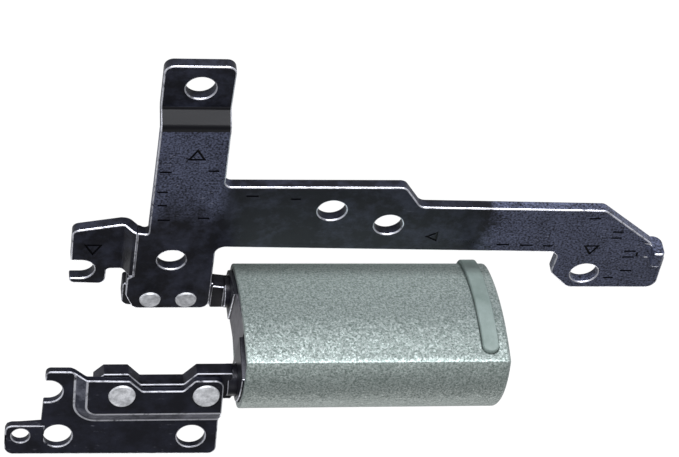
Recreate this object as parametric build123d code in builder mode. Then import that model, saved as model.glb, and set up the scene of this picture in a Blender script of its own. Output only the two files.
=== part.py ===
from build123d import *
from math import acos, atan2, cos, degrees, hypot, pi, radians, sin, tan
import os

# Two-shaft hinge for a folding computer, in millimetres.
# The origin is the base bracket's screw hole beside the barrel, on the bracket's underside.
# +X runs along both shafts towards the barrel's closed end, +Z stands up from the base bracket,
# and +Y points to the side that the base bracket's screw tab lies on.

# Sheet and screw sizes
base_thick = 1.1            # base bracket sheet
lid_thick = 0.8             # lid bracket sheet
bend_in = 0.4               # inside radius of every bend
screw_r = 1.4               # clearance hole for an M2.5 screw
slot_r = 1.35               # open screw slot
pin_r = 0.87                # locating pin hole in the lid bracket

# Clearances
turn_gap = 0.05             # radial clearance of a turning fit
face_gap = 0.03             # between faces that turn on each other
seat_gap = 0.02             # between pieces that are fixed together
stack_gap = 0.1             # round the washers inside the barrel

# Shafts
base_y = -6.5               # base shaft axis
base_z = -0.3
lid_y = -8.77               # lid shaft axis
lid_z = 9.05
lid_tilt = radians(12)      # the lid bracket's far side rises by this much
tang_thick = 1.6            # flattened shaft end that a bracket is riveted to
journal_r = 1.6
drive_r = 1.3               # flatted length that turns the washers
flat_half = 0.95
thread_r = 1.1
thread_over = 0.8           # thread that stands out of the nut

# Base shaft's flattened end
base_tang_x = (-4.35, 4.55)
base_tang_y = (-8.2, -4.9)
base_block_z = (-1.35, 0.35)    # square block between the flattened end and the barrel
base_block_x = 4.45
tang_corner_r = 0.8

# Lid shaft's flattened end, in the sheet's own plane from the lid shaft's axis
lid_tang_x = (-7.5, 6.0)
lid_tang_y = (-1.4, 1.82)
lid_tang_top = 1.24
tang_chamfer = 0.95
tang_dip = (-2.95, 1.25, 0.5)   # start and end of the dip in its edge, and the edge there
dip_run = 1.25                  # length of each slope into the dip

# Barrel section
corner_r = 2.8              # both corners are round about their shaft
wall = 0.6
crease = (-1.94, 12.35)     # sharp edge between the broad front face and the top face
front_r = 20.42
top_r = 8.85
back_r = 10.0               # hollow back between the two corners
mouth_x = 6.66              # open end
end_x = 32.26               # closed end
end_thick = 0.9
end_round = 0.3

# Pieces inside the barrel, along each shaft
plate_x = 6.25              # outer face of the base end plate, just proud of the cover's rim
end_plate_thick = 1.2
lid_plate_in = 0.2          # the lid end plate lies this much deeper
plate_reach = 2.4           # end plates reach this far from their shaft towards the core
cam_thick = 1.9
friction_thick = 1.0
washer_thick = 0.8
spring_thick = 0.6
spring_dish = 0.4
end_washer_thick = 0.9
nut_thick = 2.4
nut_af = 3.5
core_gap = 0.05
core_nose_x = 6.45          # core's face at the mouth, next to the base end plate
core_slope = 0.07           # it falls back by this much per millimetre towards the lid shaft
bumper_x = (29.85, 31.45)
bumper_z = (-3.9, 11.4)     # the strip runs from under the barrel up to this height
bumper_proud = 0.4
bumper_seat = 0.25
bumper_round = 0.7

# Base bracket
stem_left = -2.4
stem_right = 4.25
pad_left = -4.14            # rivet pad
pad_back = -7.38
tab_fold_y = 18.15          # where the screw tab starts to drop
tab_run = 1.15
tab_end_y = 24.95
tab_drop = 1.8
tab_hole = (1.1, 22.15)
tongue_fold_x = -3.5        # where the side tongue starts to drop
tongue_run = 0.95
tongue_end_x = -9.68
tongue_drop = 1.0
tongue_slot = (-8.66, -2.6)
base_holes = ((0.0, 0.0), (14.9, 7.35), (20.7, 5.3), (41.75, -2.0))
base_rivets = ((-1.68, -5.98), (1.88, -5.98))
base_rivet_r = 1.06
flange_y = (0.55, 2.5)      # upturned end of the arm
flange_in_x = 47.85
flange_top = 2.5
arm_front = ((stem_right, 10.62, 0.7), (21.7, 10.67, 0.9), (23.55, 7.85, 1.0), (42.1, 7.45, 1.0))
arm_end = ((49.6, flange_y[0], 0.3), (49.62, -4.25, 1.1))
foot = ((40.4, -4.2, 1.0), (38.25, -1.9, 0.8), (38.45, 0.6, 0.6), (37.9, 1.27, 0.5))
arm_back = (4.15, 1.95, 1.0)

# Lid bracket, in the sheet's own plane from the lid shaft's axis
pad_step = 0.5              # the rivet pad stands this much above the flange round it
pad_slope_run = 1.15
pad_foot = (-9.35, -3.75)   # foot of the slope, left and far
pad_foot_r = 2.2
lid_holes = ((-10.81, -5.73), (2.32, -5.95))
lid_pin = (-14.41, -5.67)
lid_slot = (-11.85, -0.02)
lid_rivets = ((-4.8, -0.27), (3.42, -0.35))
lid_rivet_r = 1.32
pad_edge = 1.6              # near edge of the rivet pad
pad_dip = 0.3
lid_near = ((-12.15, 2.45, 0.5), (-9.75, 2.42, 0.7), (-8.3, 1.7, 0.8))
lid_right = ((5.07, pad_edge - 0.05, 0.85), (5.1, -3.4, 0.3), (4.9, -4.0, 0.3), (4.95, -8.3, 0.8))
lid_left = ((-15.95, -8.05, 0.9), (-15.9, -4.85, 0.7), (-12.45, -4.85, 0.4), (-12.3, -1.3, 0.5))

# Rivets
shank_r = 0.65
lid_shank_r = 0.8
head_high = 0.18
head_chamfer = 0.1
foot_high = 0.25

# Worked out from the sizes above
base_tang_z = (-tang_thick, -seat_gap)
lid_top = lid_tang_top + seat_gap + lid_thick
flange_low = lid_tang_top + seat_gap - pad_step
stack_r = corner_r - wall - stack_gap
base_c = (base_y, base_z)
lid_c = (lid_y, lid_z)
spacing = hypot(lid_y - base_y, lid_z - base_z)
cam_x = plate_x + lid_plate_in + end_plate_thick + face_gap
friction_x = cam_x + cam_thick + face_gap
washer_x = friction_x + friction_thick + face_gap
spring_x = washer_x + washer_thick + seat_gap
spring_pitch = spring_thick + spring_dish + seat_gap
end_washer_x = spring_x + 2 * spring_pitch
nut_x = end_washer_x + end_washer_thick + seat_gap
shaft_end_x = nut_x + nut_thick + thread_over
core_low = plate_reach + core_gap
core_high = spacing - plate_reach - core_gap
lid_plane = Plane(origin=(0, lid_y, lid_z), x_dir=(1, 0, 0), z_dir=(0, sin(lid_tilt), cos(lid_tilt)))
# Plane across the barrel: its X runs from the base shaft to the lid shaft, its Y to the back
across = Plane(origin=(0, base_y, base_z), z_dir=(1, 0, 0),
               x_dir=(0, (lid_y - base_y) / spacing, (lid_z - base_z) / spacing))


def outline(corners):
    """Closed outline through corners (x, y, radius), each one rounded by its radius."""
    ends = []
    for i, (x, y, r) in enumerate(corners):
        before, after = corners[i - 1], corners[(i + 1) % len(corners)]
        back = Vector(before[0] - x, before[1] - y).normalized()
        on = Vector(after[0] - x, after[1] - y).normalized()
        here = Vector(x, y)
        if r == 0:
            ends.append((here, None, here))
            continue
        half = acos(max(-1.0, min(1.0, back.dot(on)))) / 2
        middle = (back + on).normalized()
        ends.append((here + back * (r / tan(half)), here + middle * (r / sin(half) - r),
                     here + on * (r / tan(half))))
    for i, (start, middle, end) in enumerate(ends):
        if middle is not None:
            ThreePointArc(start, middle, end)
        following = ends[(i + 1) % len(ends)][0]
        if (following - end).length > 1e-6:
            Line(end, following)


def toward(centre, target, distance):
    """The point at a distance from centre on the way to target."""
    way = (Vector(*target) - Vector(*centre)).normalized()
    return Vector(*centre) + way * distance


def arc_between(centre, radius, start, end, turn=0):
    """Arc round centre from start to end, through the point halfway between them."""
    a = atan2(start.Y - centre[1], start.X - centre[0])
    b = atan2(end.Y - centre[1], end.X - centre[0]) + turn
    ThreePointArc(start, (centre[0] + radius * cos((a + b) / 2), centre[1] + radius * sin((a + b) / 2)), end)


def centre_through(point, corner, radius, side):
    """Centre, on one side, of the circle that passes point and is tangent to a corner."""
    span = Vector(corner[0] - point[0], corner[1] - point[1])
    along = (span.length ** 2 + radius ** 2 - (radius - corner_r) ** 2) / (2 * span.length)
    aside = side * (radius ** 2 - along ** 2) ** 0.5
    unit = span.normalized()
    return (point[0] + unit.X * along + unit.Y * aside, point[1] + unit.Y * along - unit.X * aside)


def section(grow):
    """The barrel's closed section in Y and Z, grown outwards by a distance."""
    front_c = centre_through(crease, base_c, front_r, 1)
    top_c = centre_through(crease, lid_c, top_r, -1)
    rf, rt, rc, rb = front_r + grow, top_r + grow, corner_r + grow, back_r - grow
    out = ((corner_r + back_r) ** 2 - (spacing / 2) ** 2) ** 0.5
    back_c = ((base_y + lid_y) / 2 - (lid_z - base_z) / spacing * out,
              (base_z + lid_z) / 2 + (lid_y - base_y) / spacing * out)
    reach = Vector(top_c[0] - front_c[0], top_c[1] - front_c[1])
    along = (reach.length ** 2 + rf ** 2 - rt ** 2) / (2 * reach.length)
    up = (rf ** 2 - along ** 2) ** 0.5
    unit = reach.normalized()
    edge = Vector(front_c[0] + unit.X * along - unit.Y * up, front_c[1] + unit.Y * along + unit.X * up)
    low = toward(base_c, front_c, -rc)
    high = toward(lid_c, top_c, -rc)
    back_high = toward(lid_c, back_c, rc)
    back_low = toward(base_c, back_c, rc)
    arc_between(front_c, rf, low, edge)
    arc_between(top_c, rt, edge, high)
    arc_between(lid_c, rc, high, back_high, 2 * pi)
    arc_between(back_c, rb, back_high, back_low)
    arc_between(base_c, rc, back_low, low, 2 * pi)


def joggle(start, run, stop, sheet, drop):
    """Side view of a sheet that steps down by drop, starting at start, and runs on to stop."""
    way = 1 if stop > start else -1
    end = start + way * run
    shift = way * sheet / 2 * (hypot(run, drop) - run) / drop
    lead = start - way * bend_in * 2
    outer = bend_in + sheet * 0.6
    outline(((lead, 0, 0), (start - shift, 0, bend_in), (end - shift, -drop, outer), (stop, -drop, 0),
             (stop, sheet - drop, 0), (end + shift, sheet - drop, bend_in),
             (start + shift, sheet, outer), (lead, sheet, 0)))


# Base bracket: flat sheet with a lowered screw tab, a lowered side tongue and an upturned end
overlap = 1.0
base_plan = ((stem_left, tab_fold_y - 0.5, 0), (stem_right - 0.1, tab_fold_y - 0.5, 0), *arm_front,
             (flange_in_x, flange_y[1], 0.5), (flange_in_x, flange_y[0], 0), *arm_end, *foot, arm_back,
             (stem_right, pad_back, 0.9), (-3.3, pad_back, 0.8), (pad_left, -5.4, 0.9),
             (pad_left, -2.9, 0.3), (tongue_fold_x - 0.05, -2.4, 0), (tongue_fold_x - 0.05, 3.9, 0),
             (stem_left - 0.1, 3.7, 0.3))
with BuildPart() as base_bracket:
    with BuildSketch(Plane.XY):
        with BuildLine():
            outline(base_plan)
        make_face()
    extrude(amount=base_thick)
    with BuildSketch(Plane.YZ.offset(stem_left - overlap)):
        with BuildLine():
            joggle(tab_fold_y, tab_run, tab_end_y + overlap, base_thick, tab_drop)
        make_face()
    tab = extrude(amount=stem_right - stem_left + 2 * overlap, mode=Mode.PRIVATE)
    with BuildSketch(Plane.XY.offset(-tab_drop - overlap)):
        with BuildLine():
            outline(((stem_left, tab_fold_y - overlap, 0), (stem_left, tab_end_y, 0.9),
                     (stem_right, tab_end_y, 0.9), (stem_right - 0.1, tab_fold_y - overlap, 0)))
        make_face()
    tab_plan = extrude(amount=tab_drop + base_thick + 2 * overlap, mode=Mode.PRIVATE)
    add(tab & tab_plan)
    with BuildSketch(Plane.XZ.offset(-5)):
        with BuildLine():
            joggle(tongue_fold_x, tongue_run, tongue_end_x - overlap, base_thick, tongue_drop)
        make_face()
    tongue = extrude(amount=11, mode=Mode.PRIVATE)
    with BuildSketch(Plane.XY.offset(-tongue_drop - overlap)):
        with BuildLine():
            outline(((tongue_fold_x + 0.7, 3.75, 0), (-5.0, 4.02, 0.9), (tongue_end_x, 3.05, 0.7),
                     (tongue_end_x, -4.6, 0.5), (-6.2, -4.75, 0.7), (-6.12, -2.45, 0.45),
                     (-4.4, -2.45, 0), (tongue_fold_x + 0.7, -3.4, 0)))
        make_face()
        with Locations(tongue_slot):
            Circle(slot_r, mode=Mode.SUBTRACT)
        with Locations((tongue_slot[0] - 2, tongue_slot[1])):
            Rectangle(4, 2 * slot_r, mode=Mode.SUBTRACT)
    tongue_plan = extrude(amount=tongue_drop + base_thick + 2 * overlap, mode=Mode.PRIVATE)
    add(tongue & tongue_plan)
    with BuildSketch(Plane.XZ.offset(-flange_y[1])):
        with BuildLine():
            outline(((flange_in_x - 1.5, 0, 0), (flange_in_x + base_thick, 0, bend_in + base_thick / 2),
                     (flange_in_x + base_thick, flange_top, 0.45), (flange_in_x, flange_top, 0.3),
                     (flange_in_x, base_thick, bend_in), (flange_in_x - 1.5, base_thick, 0)))
        make_face()
    extrude(amount=flange_y[1] - flange_y[0])
    with Locations(*[(x, y, base_thick / 2) for x, y in base_holes],
                   (tab_hole[0], tab_hole[1], base_thick / 2 - tab_drop)):
        Cylinder(screw_r, base_thick + 2, mode=Mode.SUBTRACT)
    with Locations(*[(x, y, base_thick / 2) for x, y in base_rivets]):
        Cylinder(shank_r + seat_gap, base_thick + 2, mode=Mode.SUBTRACT)
base_bracket.part.label = "base_bracket"

# Lid bracket: a sheet whose rivet pad is pressed up out of the flange round it
lid_plan = (*lid_near, (tang_dip[0] - dip_run + 0.1, pad_edge, 0.35), (tang_dip[0] + 0.15, pad_dip, 0.35),
            (tang_dip[1] - 0.1, pad_dip, 0.35), (tang_dip[1] + dip_run - 0.25, pad_edge - 0.05, 0.35),
            *lid_right, *lid_left)
beyond = 4.0
pressed = ((pad_foot[0], lid_near[0][1] + beyond, 0), (pad_foot[0], pad_foot[1], pad_foot_r),
           (lid_right[0][0] + beyond, pad_foot[1], 0), (lid_right[0][0] + beyond, lid_near[0][1] + beyond, 0))
with BuildPart() as lid_bracket:
    with BuildSketch(lid_plane.offset(flange_low)):
        with BuildLine():
            outline(lid_plan)
        make_face()
        with Locations(lid_slot):
            Circle(slot_r, mode=Mode.SUBTRACT)
        with Locations((lid_slot[0] - 2, lid_slot[1])):
            Rectangle(4, 2 * slot_r, mode=Mode.SUBTRACT)
        with Locations(*lid_holes):
            Circle(screw_r, mode=Mode.SUBTRACT)
        with Locations(lid_pin):
            Circle(pin_r, mode=Mode.SUBTRACT)
        with Locations(*lid_rivets):
            Circle(lid_shank_r + seat_gap, mode=Mode.SUBTRACT)
    extrude(amount=lid_thick + pad_step)
    with BuildSketch(lid_plane.offset(flange_low + lid_thick)):
        with BuildLine():
            outline(pressed)
        make_face()
    raised = extrude(amount=pad_step, taper=degrees(atan2(pad_slope_run, pad_step)), mode=Mode.PRIVATE)
    with BuildSketch(lid_plane.offset(flange_low)):
        Rectangle(60, 60)
    sheet = extrude(amount=lid_thick, mode=Mode.PRIVATE)
    add(sheet + raised, mode=Mode.INTERSECT)
    with BuildSketch(lid_plane.offset(flange_low)):
        with BuildLine():
            outline(pressed)
        make_face()
    extrude(amount=pad_step, taper=degrees(atan2(pad_slope_run, pad_step)), mode=Mode.SUBTRACT)
lid_bracket.part.label = "lid_bracket"

# Shafts: flattened end, journal, flatted drive length and threaded end
with BuildPart() as base_shaft:
    with BuildSketch(Plane.XY.offset(base_tang_z[0])):
        with BuildLine():
            outline(((base_tang_x[0], base_tang_y[0], tang_corner_r), (base_tang_x[1], base_tang_y[0], 0),
                     (base_tang_x[1], base_tang_y[1], 0), (base_tang_x[0], base_tang_y[1], 0.3)))
        make_face()
        with Locations(*base_rivets):
            Circle(shank_r + seat_gap, mode=Mode.SUBTRACT)
    extrude(amount=base_tang_z[1] - base_tang_z[0])
    with BuildSketch(Plane.XY.offset(base_block_z[0])):
        with BuildLine():
            outline(((base_block_x, base_tang_y[0], 0.2), (plate_x - face_gap, base_tang_y[0], 0.4),
                     (plate_x - face_gap, base_tang_y[1] - 0.3, 0.4), (base_block_x, base_tang_y[1], 0.2)))
        make_face()
    extrude(amount=base_block_z[1] - base_block_z[0])
    with BuildSketch(Plane.YZ.offset(plate_x - 0.5)):
        with Locations((base_y, base_z)):
            Circle(journal_r)
    extrude(amount=cam_x - plate_x + 0.5 - face_gap)
    with BuildSketch(Plane.YZ.offset(plate_x)):
        with Locations((base_y, base_z)):
            Circle(drive_r)
            Rectangle(4, 2 * flat_half, mode=Mode.INTERSECT)
    extrude(amount=nut_x - plate_x)
    with BuildSketch(Plane.YZ.offset(nut_x - 0.5)):
        with Locations((base_y, base_z)):
            Circle(thread_r)
            Rectangle(4, 2 * flat_half, mode=Mode.INTERSECT)
    extrude(amount=shaft_end_x - nut_x + 0.5)
base_shaft.part.label = "base_shaft"

with BuildPart() as lid_shaft:
    with BuildSketch(lid_plane.offset(lid_tang_top - tang_thick)):
        with BuildLine():
            outline(((lid_tang_x[0], lid_tang_y[1] - tang_chamfer, 0.1),
                     (lid_tang_x[0] + tang_chamfer, lid_tang_y[1], 0.1),
                     (tang_dip[0] - dip_run, lid_tang_y[1], 0.2), (tang_dip[0], tang_dip[2], 0.2),
                     (tang_dip[1], tang_dip[2], 0.2), (tang_dip[1] + dip_run, lid_tang_y[1], 0.2),
                     (lid_tang_x[1], lid_tang_y[1], 0.15), (lid_tang_x[1], lid_tang_y[0], 0.15),
                     (lid_tang_x[0], lid_tang_y[0], 0.5)))
        make_face()
        with Locations(*lid_rivets):
            Circle(lid_shank_r + seat_gap, mode=Mode.SUBTRACT)
    extrude(amount=tang_thick)
    with BuildSketch(Plane.YZ.offset(lid_tang_x[1] - 0.5)):
        with Locations((lid_y, lid_z)):
            Circle(journal_r)
    extrude(amount=cam_x - lid_tang_x[1] + 0.5 - face_gap)
    with BuildSketch(Plane.YZ.offset(plate_x)):
        with Locations((lid_y, lid_z)):
            Circle(drive_r)
            Rectangle(4, 2 * flat_half, mode=Mode.INTERSECT)
    extrude(amount=nut_x - plate_x)
    with BuildSketch(Plane.YZ.offset(nut_x - 0.5)):
        with Locations((lid_y, lid_z)):
            Circle(thread_r)
            Rectangle(4, 2 * flat_half, mode=Mode.INTERSECT)
    extrude(amount=shaft_end_x - nut_x + 0.5)
lid_shaft.part.label = "lid_shaft"

# Rivets that hold each bracket to its shaft's flattened end
def rivet(name, plane, low, high, place, shank, head):
    """Rivet from low to high along the plane's normal, with a head above and a foot below."""
    with BuildPart() as piece:
        with BuildSketch(plane.offset(low)):
            with Locations(place):
                Circle(shank)
        extrude(amount=high - low)
        with BuildSketch(plane.offset(high)):
            with Locations(place):
                Circle(head)
        extrude(amount=head_high)
        chamfer(piece.edges().group_by(Axis(plane.origin, plane.z_dir))[-1], head_chamfer)
        with BuildSketch(plane.offset(low)):
            with Locations(place):
                Circle(base_rivet_r)
        extrude(amount=-foot_high)
    piece.part.label = name
    return piece.part


pieces = [base_bracket.part, base_shaft.part, lid_bracket.part, lid_shaft.part]
for end, base_place, lid_place in zip(("left", "right"), base_rivets, lid_rivets):
    pieces.append(rivet(f"base_rivet_{end}", Plane.XY, base_tang_z[0] - seat_gap, base_thick + seat_gap,
                        base_place, shank_r, base_rivet_r))
    pieces.append(rivet(f"lid_rivet_{end}", lid_plane, lid_tang_top - tang_thick - seat_gap,
                        lid_top + seat_gap, lid_place, lid_shank_r, lid_rivet_r))


# Friction pieces that turn with each shaft: cam, washers, dished springs and nut
def keyed_disc(name, x, thick, centre):
    """Round washer with a flatted bore."""
    with BuildPart() as piece:
        with BuildSketch(Plane.YZ.offset(x)):
            with Locations(centre):
                Circle(stack_r)
                with BuildSketch(mode=Mode.PRIVATE) as bore:
                    Circle(drive_r + seat_gap)
                    Rectangle(2 * stack_r, 2 * flat_half + 2 * seat_gap, mode=Mode.INTERSECT)
                add(bore.sketch, mode=Mode.SUBTRACT)
        extrude(amount=thick)
    piece.part.label = name
    return piece.part


def dished_spring(name, inner_x, outer_x, centre):
    """Cone washer whose inner and outer rims start at the two given places."""
    with BuildPart() as piece:
        with BuildSketch(Plane.XY):
            with BuildLine():
                Polyline((inner_x, drive_r + turn_gap), (outer_x, stack_r),
                         (outer_x + spring_thick, stack_r), (inner_x + spring_thick, drive_r + turn_gap),
                         close=True)
            make_face()
        revolve(axis=Axis.X)
    placed = piece.part.moved(Location((0, *centre)))
    placed.label = name
    return placed


def nut(name, centre):
    """Hexagon nut on the shaft's threaded end."""
    with BuildPart() as piece:
        with BuildSketch(Plane.YZ.offset(nut_x)):
            with Locations(centre):
                RegularPolygon(nut_af / 2, 6, major_radius=False)
                Circle(thread_r + seat_gap, mode=Mode.SUBTRACT)
        extrude(amount=nut_thick)
    piece.part.label = name
    return piece.part


for side, centre in (("base", base_c), ("lid", lid_c)):
    pieces.append(keyed_disc(f"{side}_cam", cam_x, cam_thick, centre))
    pieces.append(keyed_disc(f"{side}_washer", washer_x, washer_thick, centre))
    pieces.append(keyed_disc(f"{side}_end_washer", end_washer_x, end_washer_thick, centre))
    pieces.append(dished_spring(f"{side}_spring_1", spring_x, spring_x + spring_dish, centre))
    pieces.append(dished_spring(f"{side}_spring_2", spring_x + spring_pitch + spring_dish,
                                spring_x + spring_pitch, centre))
    pieces.append(nut(f"{side}_nut", centre))


# Plates that the shafts turn in, held by the cover
def bearing_plate(name, x, thick, centre, bore_r, middle):
    """Plate that fills the cover's section round one shaft, centred at middle across the barrel."""
    with BuildPart() as piece:
        with BuildSketch(Plane.YZ.offset(x)):
            with BuildLine():
                section(-wall - turn_gap)
            make_face()
            with Locations(centre):
                Circle(bore_r + turn_gap, mode=Mode.SUBTRACT)
        extrude(amount=thick)
        with BuildSketch(across.offset(x)):
            with Locations((middle, 0)):
                Rectangle(plate_reach + 2 * beyond, spacing)
        extrude(amount=thick, mode=Mode.INTERSECT)
    piece.part.label = name
    return piece.part


for side, centre, middle, inset in (("base", base_c, plate_reach / 2 - beyond, 0),
                                    ("lid", lid_c, spacing - plate_reach / 2 + beyond, lid_plate_in)):
    pieces.append(bearing_plate(f"{side}_end_plate", plate_x + inset, end_plate_thick, centre, journal_r,
                                middle))
    pieces.append(bearing_plate(f"{side}_friction_plate", friction_x, friction_thick, centre, drive_r,
                                middle))

# Barrel: painted cover, core between the shafts and bumper strip
def bumper_window(clear):
    """Rounded window that the bumper strip fills, seen along Y, cut out with some clearance."""
    left, right = bumper_x[0] - clear, bumper_x[1] + clear
    low, high = bumper_z[0] - clear, bumper_z[1] + clear
    with BuildPart() as piece:
        with BuildSketch(Plane.XZ.offset(-base_y)):
            with BuildLine():
                outline(((left, low, 0.3), (right, low, 0.3), (right, high, bumper_round),
                         (left, high, bumper_round)))
            make_face()
        extrude(amount=base_y - beyond)
    return piece.part


seat_window = bumper_window(seat_gap)
strip_window = bumper_window(0)
with BuildPart() as barrel_cover:
    with BuildSketch(Plane.YZ.offset(mouth_x)):
        with BuildLine():
            section(0)
        make_face()
    extrude(amount=end_x - end_round - mouth_x)
    for x, grow in ((end_x - end_round, 0), (end_x, -end_round)):
        with BuildSketch(Plane.YZ.offset(x)):
            with BuildLine():
                section(grow)
            make_face()
    loft(ruled=True)
    with BuildSketch(Plane.YZ.offset(mouth_x)):
        with BuildLine():
            section(-wall)
        make_face()
    extrude(amount=end_x - end_thick - mouth_x, mode=Mode.SUBTRACT)
    with BuildSketch(Plane.YZ.offset(bumper_x[0] - overlap)):
        with BuildLine():
            section(overlap)
        make_face()
        with BuildLine():
            section(-bumper_seat)
        make_face(mode=Mode.SUBTRACT)
    band = extrude(amount=bumper_x[1] - bumper_x[0] + 2 * overlap, mode=Mode.PRIVATE)
    add(band & seat_window, mode=Mode.SUBTRACT)
barrel_cover.part.label = "barrel_cover"

with BuildPart() as barrel_core:
    with BuildSketch(Plane.YZ.offset(core_nose_x)):
        with BuildLine():
            section(-wall - core_gap)
        make_face()
    extrude(amount=end_x - end_thick - core_gap - core_nose_x)
    fall = core_slope * (core_high - core_low)
    with BuildSketch(Plane(origin=across.origin, x_dir=(1, 0, 0), z_dir=across.y_dir)):
        with BuildLine():
            Polyline((core_nose_x, core_low), (end_x, core_low), (end_x, core_high),
                     (core_nose_x + fall, core_high), close=True)
        make_face()
    extrude(amount=2 * spacing, both=True, mode=Mode.INTERSECT)
barrel_core.part.label = "barrel_core"

with BuildPart() as bumper_strip:
    with BuildSketch(Plane.YZ.offset(bumper_x[0])):
        with BuildLine():
            section(bumper_proud)
        make_face()
        with BuildLine():
            section(seat_gap - bumper_seat)
        make_face(mode=Mode.SUBTRACT)
    extrude(amount=bumper_x[1] - bumper_x[0])
    add(strip_window, mode=Mode.INTERSECT)
bumper_strip.part.label = "bumper_strip"

pieces += [barrel_cover.part, barrel_core.part, bumper_strip.part]
os.makedirs("parts", exist_ok=True)
for piece in pieces:
    export_step(piece, f"parts/{piece.label}.step")
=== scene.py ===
import math

import bmesh
import bpy
from mathutils import Matrix, Vector


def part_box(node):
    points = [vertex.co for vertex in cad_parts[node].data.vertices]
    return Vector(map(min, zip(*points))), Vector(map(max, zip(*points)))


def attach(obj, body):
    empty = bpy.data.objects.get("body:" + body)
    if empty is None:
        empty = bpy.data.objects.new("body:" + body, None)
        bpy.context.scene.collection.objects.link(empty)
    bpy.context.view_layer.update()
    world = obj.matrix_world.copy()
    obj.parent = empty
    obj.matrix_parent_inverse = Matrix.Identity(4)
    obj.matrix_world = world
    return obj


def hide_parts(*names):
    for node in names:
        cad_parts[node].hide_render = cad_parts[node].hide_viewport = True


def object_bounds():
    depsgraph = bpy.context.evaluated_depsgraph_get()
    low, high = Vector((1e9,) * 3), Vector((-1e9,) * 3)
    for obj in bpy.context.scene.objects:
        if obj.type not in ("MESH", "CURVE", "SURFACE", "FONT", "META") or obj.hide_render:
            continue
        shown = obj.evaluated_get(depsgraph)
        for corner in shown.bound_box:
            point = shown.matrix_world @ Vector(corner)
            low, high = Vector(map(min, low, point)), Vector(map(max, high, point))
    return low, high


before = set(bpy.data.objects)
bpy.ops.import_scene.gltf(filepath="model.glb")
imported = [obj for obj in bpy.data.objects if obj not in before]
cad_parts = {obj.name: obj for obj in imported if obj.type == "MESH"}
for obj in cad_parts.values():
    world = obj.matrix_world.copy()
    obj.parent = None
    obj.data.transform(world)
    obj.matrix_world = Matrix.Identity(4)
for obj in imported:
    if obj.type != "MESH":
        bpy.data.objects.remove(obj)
cad_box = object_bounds()
mm = 0.001

# The studio: a white table under soft lamps, seen from the side that the screw tab lies on.
# The camera was worked out from the screw holes and edges in the photograph.
PHOTO_WIDTH = 679
FOCAL_PIXELS = 2544.9
scene = bpy.context.scene
scene.view_settings.view_transform = "Standard"
camera = bpy.data.objects.new("camera", bpy.data.cameras.new("camera"))
camera.data.sensor_width = 36
camera.data.lens = camera.data.sensor_width * FOCAL_PIXELS / PHOTO_WIDTH
camera.data.clip_start = 10 * mm
camera.data.clip_end = 20
camera.location = (-24.98 * mm, 188.43 * mm, 160.50 * mm)
camera.rotation_euler = [math.radians(turn) for turn in (-49.452, -6.1475, 7.3302)]
scene.collection.objects.link(camera)
scene.camera = camera


def linear(colour):
    """An sRGB hex colour as linear red, green, blue and alpha."""
    parts = [int(colour[place:place + 2], 16) / 255 for place in (1, 3, 5)]
    return tuple(part / 12.92 if part < 0.04045 else ((part + 0.055) / 1.055) ** 2.4 for part in parts) + (1,)


def add_node(tree, kind, inputs=None, **settings):
    """Adds a node, sets its settings, and fills or links its inputs."""
    made = tree.nodes.new(kind)
    for name, value in settings.items():
        setattr(made, name, value)
    for name, value in (inputs or {}).items():
        if isinstance(value, bpy.types.NodeSocket):
            tree.links.new(value, made.inputs[name])
        else:
            made.inputs[name].default_value = value
    return made


def new_material(name):
    """An empty material and its node tree."""
    made = bpy.data.materials.new(name)
    made.use_nodes = True
    made.node_tree.nodes.clear()
    return made, made.node_tree


def add_lamp(name, place, aim, width, height, watts, colour):
    """A soft box lamp at a place in metres, turned towards its aim."""
    lamp = bpy.data.lights.new(name, "AREA")
    lamp.shape = "RECTANGLE"
    lamp.size = width
    lamp.size_y = height
    lamp.energy = watts
    lamp.color = linear(colour)[:3]
    holder = bpy.data.objects.new(name, lamp)
    holder.location = place
    holder.rotation_euler = (Vector(aim) - Vector(place)).to_track_quat("-Z", "Y").to_euler()
    scene.collection.objects.link(holder)


OBJECT_MIDDLE = (15 * mm, 0, 4 * mm)
add_lamp("key", (0.05, 0.60, 0.14), OBJECT_MIDDLE, 0.70, 0.22, 6.6, "#f8faff")
add_lamp("low behind", (0.05, -0.60, 0.08), OBJECT_MIDDLE, 0.80, 0.10, 0.7, "#ffffff")
add_lamp("overhead", (0.01, 0.02, 0.60), OBJECT_MIDDLE, 0.50, 0.30, 0.5, "#ffffff")
add_lamp("left side", (-0.45, 0.05, 0.22), OBJECT_MIDDLE, 0.30, 0.20, 0.7, "#f4f7ff")

world = bpy.data.worlds.new("studio_air")
world.use_nodes = True
scene.world = world
world.node_tree.nodes.clear()
path = add_node(world.node_tree, "ShaderNodeLightPath")
dim = add_node(world.node_tree, "ShaderNodeBackground", {"Color": linear("#ffffff"), "Strength": 0.28})
white = add_node(world.node_tree, "ShaderNodeBackground", {"Color": linear("#ffffff"), "Strength": 1.0})
choose = add_node(world.node_tree, "ShaderNodeMixShader", {
    0: path.outputs["Is Camera Ray"], 1: dim.outputs[0], 2: white.outputs[0]})
add_node(world.node_tree, "ShaderNodeOutputWorld", {"Surface": choose.outputs[0]})

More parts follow.
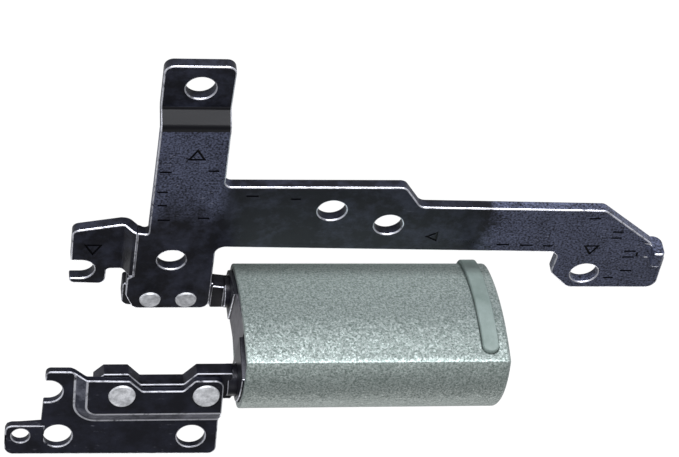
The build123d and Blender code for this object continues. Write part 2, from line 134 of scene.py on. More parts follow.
TABLE_GAP = 0.02 * mm
floor_mesh = bpy.data.meshes.new("table")
floor_z = cad_box[0][2] - TABLE_GAP
floor_mesh.from_pydata([(x, y, floor_z) for x, y in ((-3, -3), (3, -3), (3, 3), (-3, 3))], [], [(0, 1, 2, 3)])
floor = bpy.data.objects.new("table", floor_mesh)
scene.collection.objects.link(floor)
table_paint, tree = new_material("white card")
path = add_node(tree, "ShaderNodeLightPath")
matt = add_node(tree, "ShaderNodeBsdfDiffuse", {"Color": linear("#f2f2f2")})
glow = add_node(tree, "ShaderNodeEmission", {"Color": linear("#ffffff"), "Strength": 1.08})
share = add_node(tree, "ShaderNodeMath", {0: path.outputs["Is Camera Ray"], 1: 0.93}, operation="MULTIPLY")
both = add_node(tree, "ShaderNodeMixShader", {0: share.outputs[0], 1: matt.outputs[0], 2: glow.outputs[0]})
add_node(tree, "ShaderNodeOutputMaterial", {"Surface": both.outputs[0]})
floor_mesh.materials.append(table_paint)

# Base bracket: low-carbon steel sheet, pierced, bent and stamped in a press, then blackened.
# The bath leaves it near-black with a blue cast, and its upper edges are rubbed back to bare metal.
# The arm's end and the stem are painted lighter: partly where the press marked them, partly painted sheen.
SHEET = 1.1 * mm
TONGUE_DROP = 1.0 * mm
BASE_EASE = 0.12 * mm
# Angles in degrees: edges sharper than SQUARE_EDGE are eased, and creases past SOFT_CREASE stay crisp.
SQUARE_EDGE = 38
SOFT_CREASE = 20
SLIVER_CORNER = 30
FLAT_TURN = 0.5
WELD_GAP = 0.0005 * mm
CUT_WELD_GAP = 0.01 * mm
LEAST_UPWARD = 0.25
JOGGLE_LEAN = 0.35
PLAIN, RUBBED, PRESSED_OR_SHADED = range(3)
MOTTLE_SIZE = 2.6 * mm
GRAIN_SIZE = 0.22 * mm
GRAIN_DEEP = 0.006 * mm
SCRATCH_SIZE = 0.30 * mm
WORN_PATCH = 1.1 * mm
CLOUD_DRIFT = 6 * mm
# The zones painted lighter on the arm's end and the stem: partly press-marked finish, partly painted sheen.
ARM_PRESS_AND_SHEEN = (33.0 * mm, 34.5 * mm)
STEM_PRESS_AND_SHEEN = (8.0 * mm, 13.0 * mm)
STEM_END = (18.4 * mm, 17.9 * mm)
STEM_SIDE = (5.0 * mm, 3.8 * mm)


def blackened(name, dark, cloud_and_sheen_tone, press_and_sheen_zone, rough):
    """Blackened steel: a dark oxide, clouded patches, fine grain and short rubbing scratches. With the zone
    on, the arm's end and the stem are painted lighter: partly a press-marked finish, partly painted sheen.
    """
    made, tree = new_material(name)
    where = add_node(tree, "ShaderNodeTexCoord").outputs["Object"]
    clouds = add_node(tree, "ShaderNodeTexNoise", {
        "Vector": where, "Scale": 1 / MOTTLE_SIZE, "Detail": 8, "Roughness": 0.72}).outputs["Fac"]
    grain = add_node(tree, "ShaderNodeTexNoise", {
        "Vector": where, "Scale": 1 / GRAIN_SIZE, "Detail": 3, "Roughness": 0.6}).outputs["Fac"]
    patches = add_node(tree, "ShaderNodeMapRange", {"Value": clouds, "From Min": 0.42, "From Max": 0.72})
    # Lighter patches at the arm's end and along the stem: partly the press-marked finish, partly painted
    # sheen.
    if press_and_sheen_zone:
        axes = add_node(tree, "ShaderNodeSeparateXYZ", {"Vector": where})
        drift = add_node(tree, "ShaderNodeMath", {0: clouds, 1: CLOUD_DRIFT}, operation="MULTIPLY").outputs[0]
        end = add_node(tree, "ShaderNodeMath", {0: axes.outputs["X"], 1: drift}, operation="ADD").outputs[0]
        arm_end = add_node(tree, "ShaderNodeMapRange", {
            "Value": end, "From Min": ARM_PRESS_AND_SHEEN[0], "From Max": ARM_PRESS_AND_SHEEN[1]}).outputs[0]
        side = add_node(tree, "ShaderNodeMath", {0: axes.outputs["Y"], 1: drift}, operation="ADD").outputs[0]
        stem_low = add_node(tree, "ShaderNodeMapRange", {
            "Value": side, "From Min": STEM_PRESS_AND_SHEEN[0], "From Max": STEM_PRESS_AND_SHEEN[1]}).outputs[0]
        stem_high = add_node(tree, "ShaderNodeMapRange", {
            "Value": axes.outputs["Y"], "From Min": STEM_END[0], "From Max": STEM_END[1]}).outputs[0]
        stem_side = add_node(tree, "ShaderNodeMapRange", {
            "Value": axes.outputs["X"], "From Min": STEM_SIDE[0], "From Max": STEM_SIDE[1]}).outputs[0]
        stem = add_node(tree, "ShaderNodeMath", {0: stem_low, 1: stem_high}, operation="MULTIPLY").outputs[0]
        stem = add_node(tree, "ShaderNodeMath", {0: stem, 1: stem_side}, operation="MULTIPLY").outputs[0]
        zone = add_node(tree, "ShaderNodeMath", {0: arm_end, 1: stem}, operation="MAXIMUM").outputs[0]
        patches = add_node(tree, "ShaderNodeMapRange", {
            "Value": zone, "To Min": 0.05, "To Max": 0.52}).outputs[0]
        spread = add_node(tree, "ShaderNodeMath", {0: clouds, 1: 0.5}, operation="SUBTRACT").outputs[0]
        patches = add_node(tree, "ShaderNodeMath", {0: patches, 1: spread}, operation="ADD").outputs[0]
        speckle = add_node(tree, "ShaderNodeMath", {0: grain, 1: 0.5}, operation="SUBTRACT").outputs[0]
        speckle = add_node(tree, "ShaderNodeMath", {0: speckle, 1: zone}, operation="MULTIPLY").outputs[0]
        patches = add_node(tree, "ShaderNodeMath", {
            0: speckle, 1: 3.5, 2: patches}, operation="MULTIPLY_ADD", use_clamp=True)
    tone = add_node(tree, "ShaderNodeMix", {
        "Factor": patches.outputs[0], "A": linear(dark), "B": linear(cloud_and_sheen_tone)}, data_type="RGBA")
    long_way = add_node(tree, "ShaderNodeMapping", {
        "Vector": where, "Scale": (0.25, 1, 1), "Rotation": (0, 0, 0.5)}).outputs[0]
    lines = add_node(tree, "ShaderNodeTexNoise", {
        "Vector": long_way, "Scale": 1 / SCRATCH_SIZE, "Detail": 4, "Roughness": 0.7}).outputs["Fac"]
    scratches = add_node(tree, "ShaderNodeMapRange", {
        "Value": lines, "From Min": 0.64, "From Max": 0.76, "To Max": 0.9}).outputs[0]
    bared = add_node(tree, "ShaderNodeMath", {
        0: scratches, 1: patches.outputs[0]}, operation="MULTIPLY", use_clamp=True).outputs[0]
    colour = add_node(tree, "ShaderNodeMix", {
        "Factor": bared, "A": tone.outputs["Result"], "B": linear("#a8a8b4")}, data_type="RGBA")
    sheen = add_node(tree, "ShaderNodeMapRange", {
        "Value": grain, "To Min": rough - 0.08, "To Max": rough + 0.12}).outputs[0]
    relief = add_node(tree, "ShaderNodeBump", {"Height": grain, "Distance": GRAIN_DEEP, "Strength": 0.6})
    coat = add_node(tree, "ShaderNodeBsdfPrincipled", {
        "Base Color": colour.outputs["Result"], "Metallic": 0.2, "Roughness": sheen,
        "Specular IOR Level": 0.3, "Normal": relief.outputs[0]})
    add_node(tree, "ShaderNodeOutputMaterial", {"Surface": coat.outputs[0]})
    return made


def rubbed(name, dark):
    """An edge rubbed through the blackening: patchy bare steel."""
    made, tree = new_material(name)
    where = add_node(tree, "ShaderNodeTexCoord").outputs["Object"]
    gaps = add_node(tree, "ShaderNodeTexNoise", {
        "Vector": where, "Scale": 1 / WORN_PATCH, "Detail": 5, "Roughness": 0.7}).outputs["Fac"]
    bare = add_node(tree, "ShaderNodeMapRange", {
        "Value": gaps, "From Min": 0.32, "From Max": 0.50}).outputs[0]
    colour = add_node(tree, "ShaderNodeMix", {
        "Factor": bare, "A": linear(dark), "B": linear("#dcdde6")}, data_type="RGBA")
    coat = add_node(tree, "ShaderNodeBsdfPrincipled", {
        "Base Color": colour.outputs["Result"], "Metallic": 0.85, "Roughness": 0.34})
    add_node(tree, "ShaderNodeOutputMaterial", {"Surface": coat.outputs[0]})
    return made


def welded_copy(node, finishes):
    """A copy of a CAD node as one closed mesh, with its own finishes."""
    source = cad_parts[node].data
    shape = bpy.data.meshes.new(node + "_finished")
    corners = [point.co for point in source.vertices]
    shape.from_pydata(corners, [], [face.vertices for face in source.polygons])
    work = bmesh.new()
    work.from_mesh(shape)
    bmesh.ops.remove_doubles(work, verts=work.verts, dist=WELD_GAP)
    bmesh.ops.dissolve_limit(work, angle_limit=math.radians(FLAT_TURN), verts=work.verts, edges=work.edges)
    work.to_mesh(shape)
    work.free()
    for finish in finishes:
        shape.materials.append(finish)
    piece = bpy.data.objects.new(node + "_finished", shape)
    scene.collection.objects.link(piece)
    return piece


def bake(piece):
    """Turns a piece's modifiers into plain mesh."""
    graph = bpy.context.evaluated_depsgraph_get()
    shape = bpy.data.meshes.new_from_object(piece.evaluated_get(graph), depsgraph=graph)
    piece.modifiers.clear()
    piece.data = shape
    return shape


def ease_edges(piece, width, segments, least_angle, edge_finish=PLAIN):
    """Rounds every crease of a piece, except those of its press marks and of its thinnest slivers."""
    work = bmesh.new()
    work.from_mesh(piece.data)
    weight = work.edges.layers.float.new("bevel_weight_edge")
    for edge in work.edges:
        marked = any(face.material_index == PRESSED_OR_SHADED for face in edge.link_faces)
        if not marked and edge.calc_face_angle(0) > math.radians(least_angle):
            edge[weight] = 1
    for face in work.faces:
        for corner in face.loops:
            sides = (corner.edge, corner.link_loop_prev.edge)
            if corner.calc_angle() < math.radians(SLIVER_CORNER) and all(edge[weight] for edge in sides):
                min(sides, key=lambda edge: edge.calc_length())[weight] = 0
    work.to_mesh(piece.data)
    work.free()
    easing = piece.modifiers.new("eased edges", "BEVEL")
    easing.width = width
    easing.segments = segments
    easing.limit_method = "WEIGHT"
    easing.loop_slide = False
    easing.use_clamp_overlap = False
    easing.material = edge_finish


def settle(piece, least_crease):
    """Shades a finished piece smooth between its creases."""
    shape = bake(piece)
    shape.shade_smooth()
    shape.set_sharp_from_angle(angle=math.radians(least_crease))


def blacken_under(piece, up):
    """Only edges that face up are rubbed: the others keep the blackening."""
    for face in piece.data.polygons:
        if face.material_index == RUBBED and face.normal.dot(up) < LEAST_UPWARD:
            face.material_index = PLAIN


# Press marks on the base bracket: small open triangles and short dashes beside its holes.
# They are stamped a tenth of a millimetre deep before blackening, so their floors stay black.
# Each mark has a kind, a place, the height of its face, a size and a turn.
MARK_DEEP = 0.10 * mm
MARK_WIDE = 0.22 * mm
# The same near-black is also painted on the slope of the tab's joggle, as painted shade.
mark_and_shade_black, tree = new_material("press mark and painted shade black")
coat = add_node(tree, "ShaderNodeBsdfPrincipled", {
    "Base Color": linear("#08080c"), "Roughness": 0.3, "Specular IOR Level": 0.15})
add_node(tree, "ShaderNodeOutputMaterial", {"Surface": coat.outputs[0]})


def tool_from(work, name, finish):
    """Makes a worked mesh into an object that cuts or fills."""
    bmesh.ops.recalc_face_normals(work, faces=work.faces)
    shape = bpy.data.meshes.new(name)
    work.to_mesh(shape)
    work.free()
    shape.materials.append(finish)
    tool = bpy.data.objects.new(name, shape)
    scene.collection.objects.link(tool)
    return tool


def stamp(marks):
    """One cutter for all of a bracket's marks, each a closed stroke-wide outline or a dash."""
    work = bmesh.new()
    for kind, x, y, z, size, angle in marks:
        if kind == "triangle":
            corners = [(math.cos(angle + step * math.tau / 3), math.sin(angle + step * math.tau / 3))
                       for step in range(3)]
            outer = [(x + a * size, y + b * size) for a, b in corners]
            inner = [(x + a * (size - 2 * MARK_WIDE), y + b * (size - 2 * MARK_WIDE)) for a, b in corners]
            strips = [[outer[i], outer[(i + 1) % 3], inner[(i + 1) % 3], inner[i]] for i in range(3)]
        else:
            along = Vector((math.cos(angle), math.sin(angle)))
            aside = Vector((-along.y, along.x)) * MARK_WIDE / 2
            ends = [Vector((x, y)) - along * size / 2, Vector((x, y)) + along * size / 2]
            strips = [[ends[0] - aside, ends[1] - aside, ends[1] + aside, ends[0] + aside]]
        for strip in strips:
            work.faces.new([work.verts.new((px, py, z - MARK_DEEP)) for px, py in strip])
    bmesh.ops.remove_doubles(work, verts=work.verts, dist=WELD_GAP)
    raised = bmesh.ops.extrude_face_region(work, geom=work.faces[:], use_keep_orig=True)["geom"]
    for part in raised:
        if isinstance(part, bmesh.types.BMVert):
            part.co.z += SHEET
    return tool_from(work, "stamp", mark_and_shade_black)


def combine(piece, tool, operation, solver):
    """Cuts a tool out of a piece or joins it on, and takes the tool away."""
    change = piece.modifiers.new("tool", "BOOLEAN")
    change.operation = operation
    change.solver = solver
    if solver == "EXACT":
        change.material_mode = "TRANSFER"
    change.object = tool
    shape = bake(piece)
    bpy.data.objects.remove(tool)
    work = bmesh.new()
    work.from_mesh(shape)
    bmesh.ops.remove_doubles(work, verts=work.verts, dist=CUT_WELD_GAP)
    if solver == "EXACT":
        bmesh.ops.dissolve_limit(work, angle_limit=math.radians(FLAT_TURN), verts=work.verts, edges=work.edges)
    work.to_mesh(shape)
    work.free()


black_sheet = blackened("blackened pressed steel", "#090a14", "#585d74", True, 0.32)
rubbed_edge = rubbed("edge rubbed to bare steel", "#20202a")
base_bracket = welded_copy("base_bracket", (black_sheet, rubbed_edge, mark_and_shade_black))
up, down, left = math.pi / 2, -math.pi / 2, math.pi
top = SHEET
tongue_top = top - TONGUE_DROP
base_marks = [("triangle", 1.25 * mm, 14.9 * mm, top, 1.05 * mm, up),
              ("triangle", 25.4 * mm, 3.6 * mm, top, 0.85 * mm, left),
              ("triangle", 41.7 * mm, 1.8 * mm, top, 1.0 * mm, down),
              ("triangle", -7.6 * mm, 0.6 * mm, tongue_top, 1.1 * mm, down)]
for x, y, length, angle in ((-1.5, 12.7, 1.1, 0), (-1.6, 9.9, 1.0, 0), (-1.5, 8.0, 0.9, 0),
                            (-1.2, 5.9, 1.2, 0), (3.0, 12.9, 1.0, 0), (2.6, 6.2, 1.1, 0),
                            (7.0, 9.4, 1.2, 0), (11.2, 9.0, 1.0, 0),
                            (32.6, 2.4, 1.3, 0), (35.0, 2.3, 1.3, 0), (37.2, 2.2, 1.0, 0),
                            (41.2, 6.3, 1.2, 0), (44.0, 4.3, 1.1, 0), (44.0, 3.4, 1.1, 0),
                            (45.8, 1.4, 1.2, 0), (45.8, 0.5, 1.2, 0), (46.6, 0.95, 0.6, up),
                            (46.0, -1.6, 1.2, 0), (44.4, -2.7, 1.0, 0)):
    base_marks.append(("dash", x * mm, y * mm, top, length * mm, angle))
combine(base_bracket, stamp(base_marks), "DIFFERENCE", "MANIFOLD")
ease_edges(base_bracket, BASE_EASE, 2, SQUARE_EDGE, RUBBED)
settle(base_bracket, SOFT_CREASE)
# The slope of the tab's joggle takes the near-black of the press marks: painted shade, which keeps it dark
# under the lamps.
for face in base_bracket.data.polygons:
    if face.material_index == PLAIN and min(face.normal.y, face.normal.z) > JOGGLE_LEAN:
        face.material_index = PRESSED_OR_SHADED
blacken_under(base_bracket, Vector((0, 0, 1)))
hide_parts("base_bracket")
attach(base_bracket, "base")

# Lid bracket: thinner blackened sheet, with its rivet pad pressed up out of the flange.
# It lies tilted about the upper shaft, so its rubbed edges face that way.
LID_TILT = math.radians(12)
LID_AXIS = (0, -8.77 * mm, 9.05 * mm)
LID_LOW = 0.76 * mm
LID_SHEET = 0.8 * mm
LID_EASE = 0.11 * mm
PRESSED_STEP = 18
STEP_CREASE = 14
STEP_LEAN = (0.80, 0.985)
PIN_RADIUS = 0.87 * mm
PIN_PLACE = (-14.41 * mm, -5.67 * mm, LID_LOW + LID_SHEET / 2)
PIN_LONG = 3 * mm
lid_up = Vector((0, math.sin(LID_TILT), math.cos(LID_TILT)))
lid_sheet = blackened("blackened thin sheet", "#090a14", "#20222f", False, 0.40)
# A lighter copy of the blackening, painted on the pad's step as sheen.
slope_sheen_paint = blackened("painted slope sheen", "#2c2e38", "#7c7d88", False, 0.36)
lid_bracket = welded_copy("lid_bracket", (lid_sheet, rubbed_edge))
# The left lug carries the small pin hole, with its rim drawn whole: a bar lengthens the lug, and the
# hole is cut again through both. The bar's corners are given in the lid bracket's own plane.
lid_plane = Matrix.Translation(LID_AXIS) @ Matrix.Rotation(-LID_TILT, 4, "X")
lug_rim = [(-15.9273, -6.6), (-15.9023, -5.0), (-15.72, -4.58), (-15.3, -4.4), (-12.2, -4.4), (-12.2, -6.6)]
lug = bmesh.new()
low, high = ([lug.verts.new(lid_plane @ Vector((x * mm, y * mm, level))) for x, y in lug_rim]
             for level in (LID_LOW, LID_LOW + LID_SHEET))
lug.faces.new(low)
lug.faces.new(high)
for i in range(len(low)):
    j = (i + 1) % len(low)
    lug.faces.new((low[i], low[j], high[j], high[i]))
combine(lid_bracket, tool_from(lug, "lug", lid_sheet), "UNION", "EXACT")
pin = bmesh.new()
bmesh.ops.create_cone(pin, cap_ends=True, segments=48, radius1=PIN_RADIUS, radius2=PIN_RADIUS, depth=PIN_LONG,
                      matrix=lid_plane @ Matrix.Translation(PIN_PLACE))
combine(lid_bracket, tool_from(pin, "pin", lid_sheet), "DIFFERENCE", "EXACT")
ease_edges(lid_bracket, LID_EASE, 2, PRESSED_STEP, RUBBED)
settle(lid_bracket, STEP_CREASE)
blacken_under(lid_bracket, lid_up)
# The step round the rivet pad is painted lighter than the flats: a painted sheen for the light its slope
# catches.
lid_bracket.data.materials.append(slope_sheen_paint)
for face in lid_bracket.data.polygons:
    if face.material_index == PLAIN and STEP_LEAN[0] < face.normal.dot(lid_up) < STEP_LEAN[1]:
        face.material_index = len(lid_bracket.data.materials) - 1
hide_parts("lid_bracket")
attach(lid_bracket, "lid")

# Shafts: turned and milled steel, blackened and oiled, flattened where the brackets are riveted on.
# Their upper corners carry a burr that is rubbed bright, and the oil keeps the flats near-black.
SHAFT_EASE = 0.09 * mm
shaft_black = blackened("blackened turned steel", "#0b0b10", "#262630", False, 0.36)
for node, body, facing in (("base_shaft", "base", Vector((0, 0, 1))), ("lid_shaft", "lid", lid_up)):
    shaft = welded_copy(node, (shaft_black, rubbed_edge))
    ease_edges(shaft, SHAFT_EASE, 2, SQUARE_EDGE, RUBBED)
    settle(shaft, SOFT_CREASE)
    blacken_under(shaft, facing)
    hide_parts(node)
    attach(shaft, body)

# Rivets: plain steel pins, headed over flat in a press, two to each bracket.
# The heads are light grey and clouded by the tool, with a narrow sloped rim.
FOOT_HIGH = 0.25 * mm
HEAD_HIGH = 0.18 * mm
HEAD_CLOUD = 0.8 * mm
HEAD_PIT = 0.28 * mm
PIT_DEEP = 0.02 * mm
rivet_steel, tree = new_material("pressed rivet steel")
where = add_node(tree, "ShaderNodeTexCoord").outputs["Object"]
cloud = add_node(tree, "ShaderNodeTexNoise", {
    "Vector": where, "Scale": 1 / HEAD_CLOUD, "Detail": 6, "Roughness": 0.75}).outputs["Fac"]
pits = add_node(tree, "ShaderNodeTexVoronoi", {"Vector": where, "Scale": 1 / HEAD_PIT}).outputs["Distance"]
tone = add_node(tree, "ShaderNodeValToRGB", {"Fac": cloud})
tone.color_ramp.elements[0].position = 0.36
tone.color_ramp.elements[0].color = linear("#9d9ea1")
tone.color_ramp.elements[1].position = 0.66
tone.color_ramp.elements[1].color = linear("#e2e3e6")
relief = add_node(tree, "ShaderNodeBump", {"Height": pits, "Distance": PIT_DEEP, "Strength": 0.35})
coat = add_node(tree, "ShaderNodeBsdfPrincipled", {
    "Base Color": tone.outputs[0], "Metallic": 0.3, "Roughness": 0.45, "Normal": relief.outputs[0]})
add_node(tree, "ShaderNodeOutputMaterial", {"Surface": coat.outputs[0]})

rivet_tree = bpy.data.node_groups.new("headed rivets", "GeometryNodeTree")
for label, kind in (("Places", "NodeSocketGeometry"), ("Head radius", "NodeSocketFloat"),
                    ("Shank radius", "NodeSocketFloat"), ("Foot radius", "NodeSocketFloat"),
                    ("Grip", "NodeSocketFloat"), ("Tilt", "NodeSocketVector"),
                    ("Finish", "NodeSocketMaterial")):
    rivet_tree.interface.new_socket(label, in_out="INPUT", socket_type=kind)
rivet_tree.interface.new_socket("Rivets", in_out="OUTPUT", socket_type="NodeSocketGeometry")
given = add_node(rivet_tree, "NodeGroupInput").outputs


def disc(radius, height, shrink, low):
    """One closed disc of a rivet, standing on the height low, with its end scaled by shrink."""
    drum = add_node(rivet_tree, "GeometryNodeMeshCylinder", {
        "Vertices": 48, "Radius": radius, "Depth": height}, fill_type="NGON")
    eased = add_node(rivet_tree, "GeometryNodeScaleElements", {
        "Geometry": drum.outputs["Mesh"], "Selection": drum.outputs["Top"], "Scale": shrink})
    middle = add_node(rivet_tree, "ShaderNodeMath", {0: height, 1: 0.5, 2: low}, operation="MULTIPLY_ADD")
    shift = add_node(rivet_tree, "ShaderNodeCombineXYZ", {"Z": middle.outputs[0]})
    return add_node(rivet_tree, "GeometryNodeTransform", {
        "Geometry": eased.outputs[0], "Translation": shift.outputs[0]}).outputs[0]


half_grip = add_node(rivet_tree, "ShaderNodeMath", {
    0: given["Grip"], 1: 0.5}, operation="MULTIPLY").outputs[0]
below = add_node(rivet_tree, "ShaderNodeMath", {0: half_grip, 1: -1.0}, operation="MULTIPLY").outputs[0]
foot_low = add_node(rivet_tree, "ShaderNodeMath", {0: below, 1: FOOT_HIGH}, operation="SUBTRACT").outputs[0]
whole = add_node(rivet_tree, "GeometryNodeJoinGeometry")
for part in (disc(given["Head radius"], HEAD_HIGH, 0.93, half_grip),
             disc(given["Shank radius"], given["Grip"], 1.0, below),
             disc(given["Foot radius"], FOOT_HIGH, 1.0, foot_low)):
    rivet_tree.links.new(part, whole.inputs[0])
spread = add_node(rivet_tree, "GeometryNodeMeshToPoints", {"Mesh": given["Places"]})
placed = add_node(rivet_tree, "GeometryNodeInstanceOnPoints", {
    "Points": spread.outputs[0], "Instance": whole.outputs[0], "Rotation": given["Tilt"]})
solid = add_node(rivet_tree, "GeometryNodeRealizeInstances", {"Geometry": placed.outputs[0]})
coated = add_node(rivet_tree, "GeometryNodeSetMaterial", {
    "Geometry": solid.outputs[0], "Material": given["Finish"]})
add_node(rivet_tree, "NodeGroupOutput", {"Rivets": coated.outputs[0]})

# For each bracket: radii of head, shank and foot, the grip between head and foot, and the tilt.
for body, head, shank, foot, grip, tilt in (("base", 1.06, 0.65, 1.06, 2.74, 0.0),
                                            ("lid", 1.32, 0.80, 1.06, 2.46, -LID_TILT)):
    nodes = [f"{body}_rivet_{end}" for end in ("left", "right")]
    facing = lid_up if body == "lid" else Vector((0, 0, 1))
    lift = facing * (FOOT_HIGH - HEAD_HIGH) / 2
    spots = bpy.data.meshes.new(body + "_rivets")
    spots.from_pydata([sum(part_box(node), Vector()) / 2 + lift for node in nodes], [], [])
    rivets = bpy.data.objects.new(body + "_rivets", spots)
    scene.collection.objects.link(rivets)
    maker = rivets.modifiers.new("headed rivets", "NODES")
    maker.node_group = rivet_tree
    sizes = {"Head radius": head * mm, "Shank radius": shank * mm, "Foot radius": foot * mm,
             "Grip": grip * mm, "Tilt": (tilt, 0, 0), "Finish": rivet_steel}
    for item in rivet_tree.interface.items_tree:
        if item.name in sizes:
            maker[item.identifier] = sizes[item.name]
    graph = bpy.context.evaluated_depsgraph_get()
    shape = bpy.data.meshes.new_from_object(rivets.evaluated_get(graph), depsgraph=graph)
    rivets.modifiers.clear()
    rivets.data = shape
    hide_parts(*nodes)
    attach(rivets, body)

# Barrel cover: zinc die casting, sprayed with a grey-green paint full of coarse metal flake.
# The flake catches the light grain by grain, so the face sparkles towards the crease.
# The flake is drawn coarser than real, so that it shows. END_REACH carries the closed end outwards.
FLAKE = 0.20 * mm
FLAKE_DEEP = 0.05 * mm
COVER_EASE = 0.14 * mm
MOULDED_EDGE = 30
MOULDED_CREASE = 35
END_RING = 31.9 * mm
END_REACH = 0.35 * mm
barrel_paint, tree = new_material("metal flake paint")
where = add_node(tree, "ShaderNodeTexCoord").outputs["Object"]
cells = add_node(tree, "ShaderNodeTexVoronoi", {"Vector": where, "Scale": 1 / FLAKE}).outputs["Color"]
grains = add_node(tree, "ShaderNodeTexNoise", {
    "Vector": where, "Scale": 1 / FLAKE, "Detail": 3, "Roughness": 0.75}).outputs["Fac"]
tone = add_node(tree, "ShaderNodeValToRGB", {"Fac": grains})
tone.color_ramp.elements[0].position = 0.34
tone.color_ramp.elements[0].color = linear("#62706a")
tone.color_ramp.elements[1].position = 0.68
tone.color_ramp.elements[1].color = linear("#b6bfbc")
relief = add_node(tree, "ShaderNodeBump", {"Height": grains, "Distance": FLAKE_DEEP, "Strength": 0.55})
tipped = add_node(tree, "ShaderNodeVectorMath", {
    0: cells, 1: (0.5, 0.5, 0.5)}, operation="SUBTRACT").outputs[0]
tipped = add_node(tree, "ShaderNodeVectorMath", {0: tipped, "Scale": 0.22}, operation="SCALE").outputs[0]
tipped = add_node(tree, "ShaderNodeVectorMath", {0: relief.outputs[0], 1: tipped}, operation="ADD").outputs[0]
normal = add_node(tree, "ShaderNodeVectorMath", {0: tipped}, operation="NORMALIZE").outputs[0]
coat = add_node(tree, "ShaderNodeBsdfPrincipled", {
    "Base Color": tone.outputs[0], "Metallic": 0.6, "Roughness": 0.40, "Normal": normal})
add_node(tree, "ShaderNodeOutputMaterial", {"Surface": coat.outputs[0]})
cover = welded_copy("barrel_cover", (barrel_paint,))
for point in cover.data.vertices:
    if point.co.x > END_RING:
        point.co.x += END_REACH
ease_edges(cover, COVER_EASE, 3, MOULDED_EDGE)
settle(cover, MOULDED_CREASE)
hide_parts("barrel_cover")
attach(cover, "barrel")

# Bumper strip: moulded rubber, let into the cover's closed end and wrapped round its lower edge.
# It is smooth and matt, a little greyer than the paint, with rounded edges and a dark gap round it.
STRIP_EASE = 0.16 * mm
BLOOM_SIZE = 2.2 * mm
SKIN_SIZE = 0.15 * mm
SKIN_DEEP = 0.008 * mm
bumper_rubber, tree = new_material("moulded grey rubber")
where = add_node(tree, "ShaderNodeTexCoord").outputs["Object"]
bloom = add_node(tree, "ShaderNodeTexNoise", {
    "Vector": where, "Scale": 1 / BLOOM_SIZE, "Detail": 4, "Roughness": 0.6}).outputs["Fac"]
tone = add_node(tree, "ShaderNodeValToRGB", {"Fac": bloom})
tone.color_ramp.elements[0].position = 0.35
tone.color_ramp.elements[0].color = linear("#66736e")
tone.color_ramp.elements[1].position = 0.7
tone.color_ramp.elements[1].color = linear("#7b8783")
skin = add_node(tree, "ShaderNodeTexNoise", {
    "Vector": where, "Scale": 1 / SKIN_SIZE, "Detail": 2, "Roughness": 0.5}).outputs["Fac"]
relief = add_node(tree, "ShaderNodeBump", {"Height": skin, "Distance": SKIN_DEEP, "Strength": 0.4})
coat = add_node(tree, "ShaderNodeBsdfPrincipled", {
    "Base Color": tone.outputs[0], "Roughness": 0.55, "Normal": relief.outputs[0]})
add_node(tree, "ShaderNodeOutputMaterial", {"Surface": coat.outputs[0]})
strip = welded_copy("bumper_strip", (bumper_rubber,))
ease_edges(strip, STRIP_EASE, 3, MOULDED_EDGE)
settle(strip, MOULDED_CREASE)
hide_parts("bumper_strip")
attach(strip, "barrel")

# Plates at the barrel's mouth and among the washers: sintered steel, blackened, faintly porous.
# Their faces take a dull grey sheen and their rims are a little brighter.
PLATE_EASE = 0.08 * mm
PORE_SIZE = 0.12 * mm
PORE_DEEP = 0.01 * mm
sintered, tree = new_material("blackened sintered steel")
where = add_node(tree, "ShaderNodeTexCoord").outputs["Object"]
pores = add_node(tree, "ShaderNodeTexNoise", {
    "Vector": where, "Scale": 1 / PORE_SIZE, "Detail": 4, "Roughness": 0.7}).outputs["Fac"]
tone = add_node(tree, "ShaderNodeValToRGB", {"Fac": pores})
tone.color_ramp.elements[0].position = 0.4
tone.color_ramp.elements[0].color = linear("#15151b")
tone.color_ramp.elements[1].position = 0.7
tone.color_ramp.elements[1].color = linear("#2c2c36")
relief = add_node(tree, "ShaderNodeBump", {"Height": pores, "Distance": PORE_DEEP, "Strength": 0.5})
coat = add_node(tree, "ShaderNodeBsdfPrincipled", {
    "Base Color": tone.outputs[0], "Metallic": 0.5, "Roughness": 0.36, "Normal": relief.outputs[0]})
add_node(tree, "ShaderNodeOutputMaterial", {"Surface": coat.outputs[0]})
for node in ("base_end_plate", "lid_end_plate", "base_friction_plate", "lid_friction_plate"):
    plate = welded_copy(node, (sintered, rubbed_edge))
    ease_edges(plate, PLATE_EASE, 2, SQUARE_EDGE, RUBBED)
    settle(plate, SOFT_CREASE)
    blacken_under(plate, Vector((0, 0, 1)))
    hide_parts(node)
    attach(plate, "barrel")

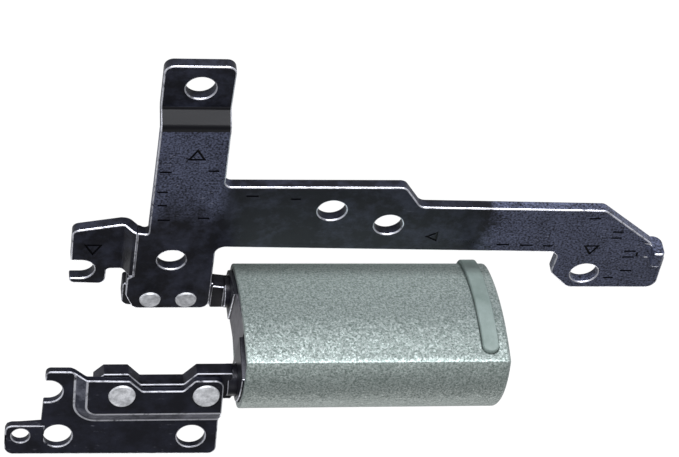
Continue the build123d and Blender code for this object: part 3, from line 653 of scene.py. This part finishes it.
# Core: a dark glass-filled nylon block between the two shafts, seen in the barrel's mouth.
# The fibres lie along the flow of the mould, which leaves a satin grey wall with faint streaks.
FLOW_SIZE = 0.35 * mm
FLOW_DEEP = 0.01 * mm
core_plastic, tree = new_material("glass-filled nylon")
where = add_node(tree, "ShaderNodeTexCoord").outputs["Object"]
fibres = add_node(tree, "ShaderNodeMapping", {"Vector": where, "Scale": (1, 0.3, 1)}).outputs[0]
flow = add_node(tree, "ShaderNodeTexNoise", {
    "Vector": fibres, "Scale": 1 / FLOW_SIZE, "Detail": 4, "Roughness": 0.65}).outputs["Fac"]
tone = add_node(tree, "ShaderNodeValToRGB", {"Fac": flow})
tone.color_ramp.elements[0].position = 0.35
tone.color_ramp.elements[0].color = linear("#3c3a40")
tone.color_ramp.elements[1].position = 0.7
tone.color_ramp.elements[1].color = linear("#6d6a70")
relief = add_node(tree, "ShaderNodeBump", {"Height": flow, "Distance": FLOW_DEEP, "Strength": 0.4})
coat = add_node(tree, "ShaderNodeBsdfPrincipled", {
    "Base Color": tone.outputs[0], "Roughness": 0.38, "Normal": relief.outputs[0]})
add_node(tree, "ShaderNodeOutputMaterial", {"Surface": coat.outputs[0]})
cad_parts["barrel_core"].data.materials.clear()
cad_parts["barrel_core"].data.materials.append(core_plastic)

# Cams, washers, dished springs and nuts: hardened steel, ground and greased, shut in the barrel.
# Nothing of them shows at rest, so the CAD meshes stay as they are and only take a finish.
GRIND_SIZE = 0.4 * mm
stack_steel, tree = new_material("ground spring steel")
where = add_node(tree, "ShaderNodeTexCoord").outputs["Object"]
ground = add_node(tree, "ShaderNodeMapping", {"Vector": where, "Scale": (4, 1, 1)}).outputs[0]
marks = add_node(tree, "ShaderNodeTexNoise", {
    "Vector": ground, "Scale": 1 / GRIND_SIZE, "Detail": 4, "Roughness": 0.6}).outputs["Fac"]
tone = add_node(tree, "ShaderNodeValToRGB", {"Fac": marks})
tone.color_ramp.elements[0].color = linear("#8d8f92")
tone.color_ramp.elements[1].color = linear("#c4c6c9")
coat = add_node(tree, "ShaderNodeBsdfPrincipled", {
    "Base Color": tone.outputs[0], "Metallic": 1.0, "Roughness": 0.3})
add_node(tree, "ShaderNodeOutputMaterial", {"Surface": coat.outputs[0]})
for body in ("base", "lid"):
    for kind in ("cam", "washer", "end_washer", "spring_1", "spring_2", "nut"):
        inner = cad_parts[f"{body}_{kind}"]
        inner.data.materials.clear()
        inner.data.materials.append(stack_steel)
